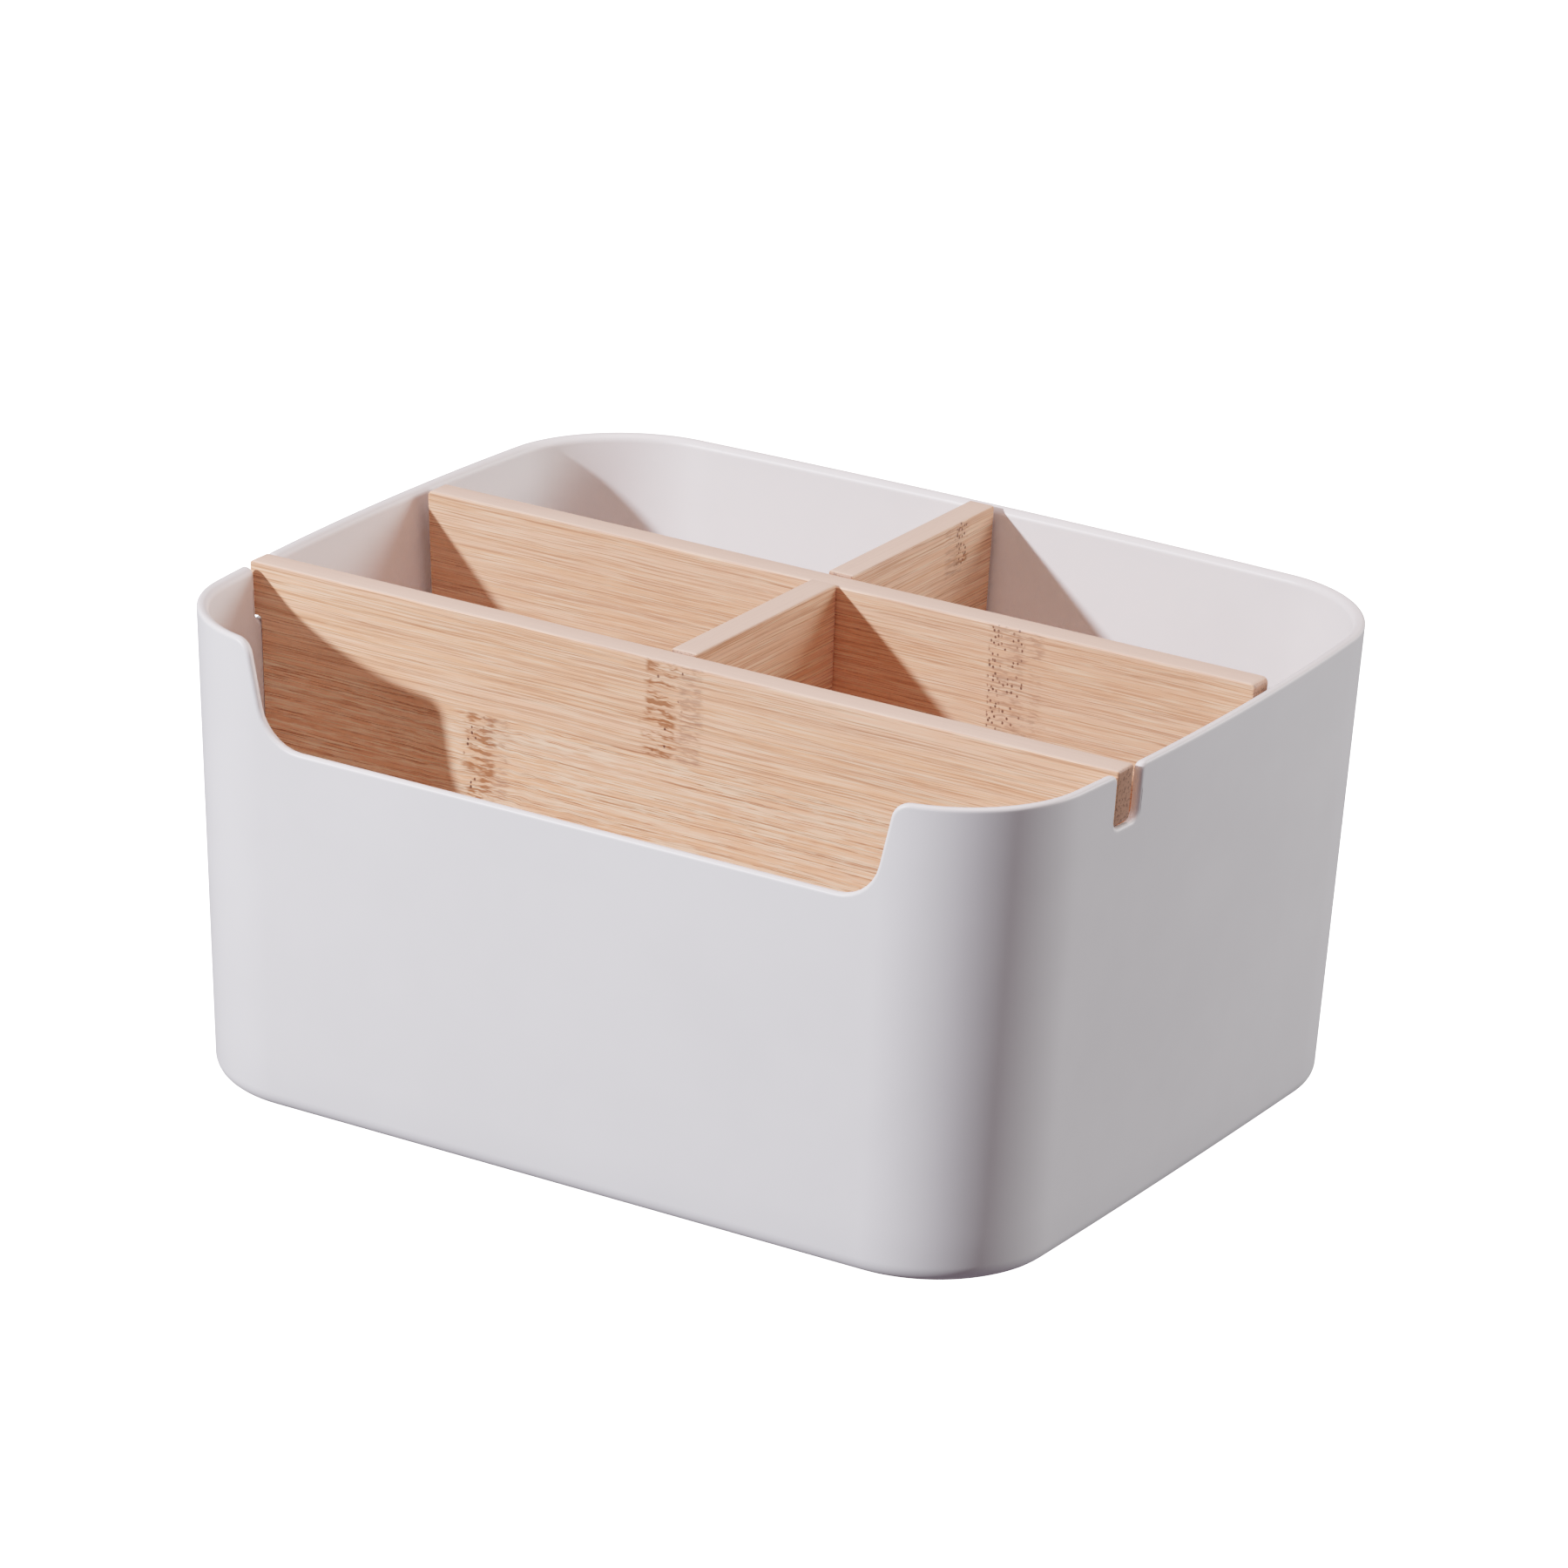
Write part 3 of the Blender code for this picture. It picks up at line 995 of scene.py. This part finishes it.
@dataclass
class Dividers:
    """The three bamboo boards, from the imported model's boxes and the tray's plan."""

    plan: TrayPlan
    front_play: float = 0.0001
    long_play: float = 0.0023
    rear_play: float = 0.0014
    ear_setback: float = 0.0002
    ear_drop: float = 0.0146
    lower_corner: float = 0.0030
    slot_gap: float = 0.0002
    soft_corner: float = 0.0008
    worn_corner: float = 0.0016
    front_seams: Tuple[float, ...] = (0.1010, 0.0700, 0.0390)
    long_seams: Tuple[float, ...] = (0.0930, 0.0600, 0.0280)
    cross_seams: Tuple[float, ...] = (0.0990, 0.0640, 0.0310)
    node_gap: float = 0.0005

    def front(self) -> Board:
        """The front divider: its ends follow the side walls, and its ears reach through them.

        Its two nodes lie in different strips: one above the first seam, one below it.

        Returns:
            The board, ready to build.
        """
        low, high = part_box("front_divider")
        ear = high.z - self.ear_drop
        corner_z = low.z + self.lower_corner
        body_low = self.plan.bow_out(low.y, corner_z) - self.plan.wall - self.front_play
        body_high = self.plan.bow_out(low.y, ear) - self.plan.wall - self.front_play
        ear_low = self.plan.bow_out(low.y, ear) - self.ear_setback
        half = [(body_low - self.lower_corner, low.z, 0), (body_low, corner_z, 0),
                (body_high, ear, self.soft_corner), (ear_low, ear, self.soft_corner),
                (high.x, high.z, self.soft_corner)]
        outline = half + [(-x, z, radius) for x, z, radius in reversed(half)]
        seam = self.front_seams[0]
        under = seam - self.node_gap
        columns = (Column(Mark.STROKES, -0.0025, 0.0052, seam, share=0.80),
                   Column(Mark.DOTS, -0.0005, 0.0046, seam, share=0.06),
                   Column(Mark.FAINT, 0.0062, 0.0036, seam, share=0.9),
                   Column(Mark.STROKES, -0.0562, 0.0048, high=under, share=0.80, reach=0.048),
                   Column(Mark.DOTS, -0.0580, 0.0034, high=under, share=0.12),
                   Column(Mark.FAINT, -0.0510, 0.0040, high=under, share=0.6))
        finish = Bamboo("bamboo_front", Grain.ALONG_X, columns, self.front_seams, lively=0.30,
                        base=linear(247, 188, 151), tan=linear(240, 175, 133))
        return Board("front_divider", finish, outline)

    def long(self) -> Board:
        """The long divider, slotted from below.

        Returns:
            The board, ready to build.
        """
        low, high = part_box("long_divider")
        cross_low, cross_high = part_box("cross_divider")
        corner_z = low.z + self.lower_corner
        end_low = self.plan.bow_out(high.y, corner_z) - self.plan.wall - self.long_play
        slot_top = (low.z + high.z + self.slot_gap) / 2
        left, right = cross_low.x - self.slot_gap, cross_high.x + self.slot_gap
        outline = [(right, slot_top, 0), (right, low.z, 0),
                   (end_low - self.lower_corner, low.z, 0), (end_low, corner_z, 0),
                   (high.x, high.z, self.worn_corner), (low.x, high.z, self.worn_corner),
                   (-end_low, corner_z, 0), (-end_low + self.lower_corner, low.z, 0),
                   (left, low.z, 0), (left, slot_top, 0)]
        columns = (Column(Mark.DOTS, 0.0494, 0.0016, share=0.80),
                   Column(Mark.DOTS, 0.0535, 0.0022, share=0.30),
                   Column(Mark.DOTS, 0.0570, 0.0012, share=0.55),
                   Column(Mark.FAINT, 0.0530, 0.0050, share=0.70),
                   Column(Mark.FAINT, 0.0590, 0.0050, share=0.55))
        finish = Bamboo("bamboo_long", Grain.ALONG_X, columns, self.long_seams, offset=3.7,
                        wave=0.0006)
        return Board("long_divider", finish, outline)

    def cross(self) -> Board:
        """The cross divider, slotted from above.

        Returns:
            The board, ready to build.
        """
        low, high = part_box("cross_divider")
        long_low, long_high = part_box("long_divider")
        corner_z = low.z + self.lower_corner
        rear_low = self.plan.inside_back(corner_z) - self.rear_play
        slot_floor = (long_low.z + long_high.z - self.slot_gap) / 2
        slot_front, slot_rear = long_low.y - self.slot_gap, long_high.y + self.slot_gap
        soft = self.soft_corner
        outline = [(low.y, low.z, 0), (rear_low - self.lower_corner, low.z, 0),
                   (rear_low, corner_z, 0), (high.y, high.z, soft), (slot_rear, high.z, soft / 2),
                   (slot_rear, slot_floor, 0), (slot_front, slot_floor, 0),
                   (slot_front, high.z, soft / 2), (low.y, high.z, soft / 2)]
        columns = (Column(Mark.DOTS, 0.0822, 0.0034, low=0.1150, share=0.55),
                   Column(Mark.STROKES, 0.0825, 0.0034, low=0.1150, share=0.55),
                   Column(Mark.FAINT, 0.0785, 0.0045, low=0.1130, share=0.7))
        finish = Bamboo("bamboo_cross", Grain.ALONG_Y, columns, self.cross_seams, offset=8.3)
        return Board("cross_divider", finish, outline)


# Studio


@dataclass(frozen=True)
class Lamp:
    """A soft area light that shines at a point."""

    name: str
    place: Place
    aim: Place
    size: float
    power: float
    colour: Colour = (1.0, 1.0, 1.0)

    def light(self, receivers: bpy.types.Collection) -> None:
        """Add the lamp.

        Args:
            receivers: the pieces that it lights.
        """
        data = bpy.data.lights.new(self.name, "AREA")
        data.shape = "DISK"
        data.size = self.size
        data.energy = self.power
        data.color = self.colour
        lamp = put(self.name, data)
        lamp.location = self.place
        way = Vector(self.aim) - Vector(self.place)
        lamp.rotation_euler = way.to_track_quat("-Z", "Y").to_euler()
        lamp.light_linking.receiver_collection = receivers


@dataclass(frozen=True)
class Studio:
    """The pale floor, the lights and the camera that stands where the photograph's stood."""

    plan: TrayPlan
    lens: float = 184.92
    sensor: float = 36.0
    azimuth: float = math.radians(31.316)
    elevation: float = math.radians(20.567)
    roll: float = math.radians(1.980)
    distance: float = 2.0602
    right_shift: float = 0.00176
    up_shift: float = 0.01466
    sight: float = 100.0
    floor_reach: float = 8.0
    floor_colour: Colour = (0.90, 0.90, 0.90)
    floor_darkest: float = 0.985
    floor_roughness: float = 0.9
    mottle_pitch: float = 0.3
    floor_strength: float = 38.0
    floor_spread: float = math.radians(120)
    floor_bounce: Colour = (0.0205, 0.0176, 0.0220)
    ambient: Colour = (1.0, 0.58, 0.42)
    ambient_strength: float = 0.07
    background: float = 8.0
    shoulder: float = 0.8
    curve_steps: int = 9
    lamps: Tuple[Lamp, ...] = (
        Lamp("key", (-0.727, -1.258, 0.723), (0, 0, 0.060), 0.08, 48.0, (0.935, 0.955, 1.045)),
        Lamp("right_fill", (1.25, 1.03, 0.70), (0.05, 0, 0.060), 0.80, 28.0, (0.965, 0.995, 1.015)),
        Lamp("top_fill", (0.10, -0.10, 1.60), (0, 0, 0.100), 0.90, 18.0, (1.24, 1.0, 1.02)),
    )

    def camera(self) -> None:
        """Add the camera, aimed at the middle of the box and turned by its roll."""
        back = Vector((math.sin(self.azimuth) * math.cos(self.elevation),
                       -math.cos(self.azimuth) * math.cos(self.elevation),
                       math.sin(self.elevation)))
        right = Vector((math.cos(self.azimuth), math.sin(self.azimuth), 0))
        up = back.cross(right)
        middle = Vector((0, self.plan.middle_y, self.plan.height / 2))
        place = middle + back * self.distance + right * self.right_shift + up * self.up_shift
        turned_right = right * math.cos(self.roll) + up * math.sin(self.roll)
        turned_up = up * math.cos(self.roll) - right * math.sin(self.roll)
        data = bpy.data.cameras.new("camera")
        data.lens = self.lens
        data.sensor_width = self.sensor
        data.clip_end = self.sight
        camera = put("camera", data)
        turn = Matrix((turned_right, turned_up, back)).transposed().to_4x4()
        camera.matrix_world = Matrix.Translation(place) @ turn
        bpy.context.scene.camera = camera

    def floor(self) -> bpy.types.Object:
        """Add the plain pale floor, which throws less light on the box than to the camera.

        Returns:
            The floor.
        """
        corners = np.array(((-1, -1, 0), (1, -1, 0), (1, 1, 0), (-1, 1, 0))) * self.floor_reach
        floor = mesh_piece("floor", corners, [(0, 1, 2, 3)])
        shade = Shade("pale_floor")
        x, y, _ = shade.read("Object")
        mottle = shade.noise(shade.vector(x / self.mottle_pitch, y / self.mottle_pitch, 0), 3)
        darker = tuple(self.floor_darkest * part for part in self.floor_colour)
        plain = shade.node("ShaderNodeBsdfPrincipled", {},
                           {"Base Color": shade.blend(darker, self.floor_colour, mottle),
                            "Roughness": self.floor_roughness})
        dim = shade.node("ShaderNodeBsdfDiffuse", {}, {"Color": (*self.floor_bounce, 1)})
        shade.show("ShaderNodeOutputMaterial", shade.by_ray(dim, plain))
        floor.data.materials.append(shade.material)
        return floor

    def world(self) -> None:
        """Give an even pale surrounding light, and a white one behind what the camera sees."""
        world = bpy.data.worlds.new("studio")
        nodes = Nodes(world)
        around = nodes.node("ShaderNodeBackground", {},
                            {"Color": (*self.ambient, 1), "Strength": self.ambient_strength})
        behind = nodes.node("ShaderNodeBackground", {},
                            {"Color": (1, 1, 1, 1), "Strength": self.background})
        nodes.show("ShaderNodeOutputWorld", nodes.by_ray(around, behind))
        bpy.context.scene.world = world

    def build(self, pieces: Sequence[bpy.types.Object]) -> None:
        """Set the stage round the pieces.

        Args:
            pieces: what the shaped lights fall on.
        """
        lit = bpy.data.collections.new("lit_pieces")
        for piece in pieces:
            lit.objects.link(piece)
        for lamp in self.lamps:
            lamp.light(lit)
        ground = bpy.data.collections.new("lit_floor")
        ground.objects.link(self.floor())
        sun = bpy.data.lights.new("floor_light", "SUN")
        sun.energy = self.floor_strength
        sun.angle = self.floor_spread
        above = put("floor_light", sun)
        above.light_linking.receiver_collection = ground
        above.light_linking.blocker_collection = ground
        self.world()
        self.camera()
        self.film()

    def film(self) -> None:
        """Roll the highlights off, as the photograph does.

        The tone d of a light t is t / (1 + k t), with k the shoulder, so white is reached at
        1 / (1 - k).
        """
        view = bpy.context.scene.view_settings
        view.view_transform = "Standard"
        view.look = "None"
        view.use_curve_mapping = True
        curves = view.curve_mapping
        white = 1 / (1 - self.shoulder)
        curves.white_level = (white, white, white)
        curve = curves.curves[3]  # the one for all three colours
        for share in np.linspace(0, 1, self.curve_steps + 1)[1:-1].tolist():
            light = share * white
            curve.points.new(share, light / (1 + self.shoulder * light))
        curves.update()


def main() -> None:
    """Build the box's pieces in order, then the studio round them."""
    logging.basicConfig(level=logging.INFO, format="%(message)s")
    plan = TrayPlan()
    white = SatinPlastic("satin_white_plastic", (0.93, 0.905, 0.895))
    dividers = Dividers(plan)
    makers = (Tray(plan, white), dividers.front(), dividers.long(), dividers.cross())
    pieces = [maker.build() for maker in makers]
    for piece in pieces:
        LOG.info("%s: %d faces", piece.name, len(piece.data.polygons))
    Studio(plan).build(pieces)


if __name__ == "__main__":
    main()
